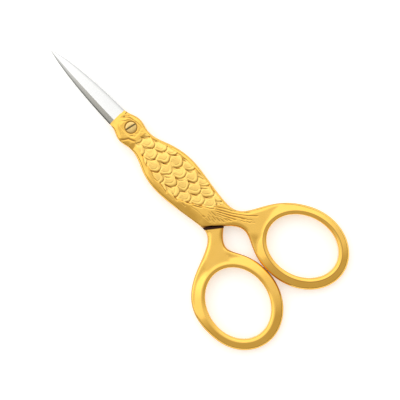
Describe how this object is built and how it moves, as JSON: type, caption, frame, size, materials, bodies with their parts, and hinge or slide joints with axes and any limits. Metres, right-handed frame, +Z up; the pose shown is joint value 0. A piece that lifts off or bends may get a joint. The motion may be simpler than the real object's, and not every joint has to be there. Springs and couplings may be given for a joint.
{
  "type": "stork embroidery scissors",
  "caption": "Small embroidery scissors with slim pointed steel blades, a gilt bird-shaped body carved with scales, oval finger bows and a slotted pivot screw.",
  "frame": {"origin": "middle of the closed scissors' footprint, at the height of the surface they lie on", "axes": "+Y towards the blade tips, +X towards the front half's finger bow, +Z up out of the front face"},
  "size_m": [0.0526, 0.1142, 0.0049],
  "materials": {
    "blade_steel": "polished bare steel",
    "gilding": "polished gold plating on steel",
    "screw": "pale gold plating on steel"
  },
  "bodies": {
    "back_half": {"back_blade": "blade_steel", "back_handle": "gilding", "pivot_screw": "screw"},
    "front_half": {"front_blade": "blade_steel", "front_handle": "gilding"}
  },
  "joints": [
    {"name": "pivot", "type": "hinge", "parent": "back_half", "child": "front_half", "pos_m": [0.0029, 0.02237, 0.00245], "axis": [0, 0, 1], "range_deg": [0, 90]}
  ]
}
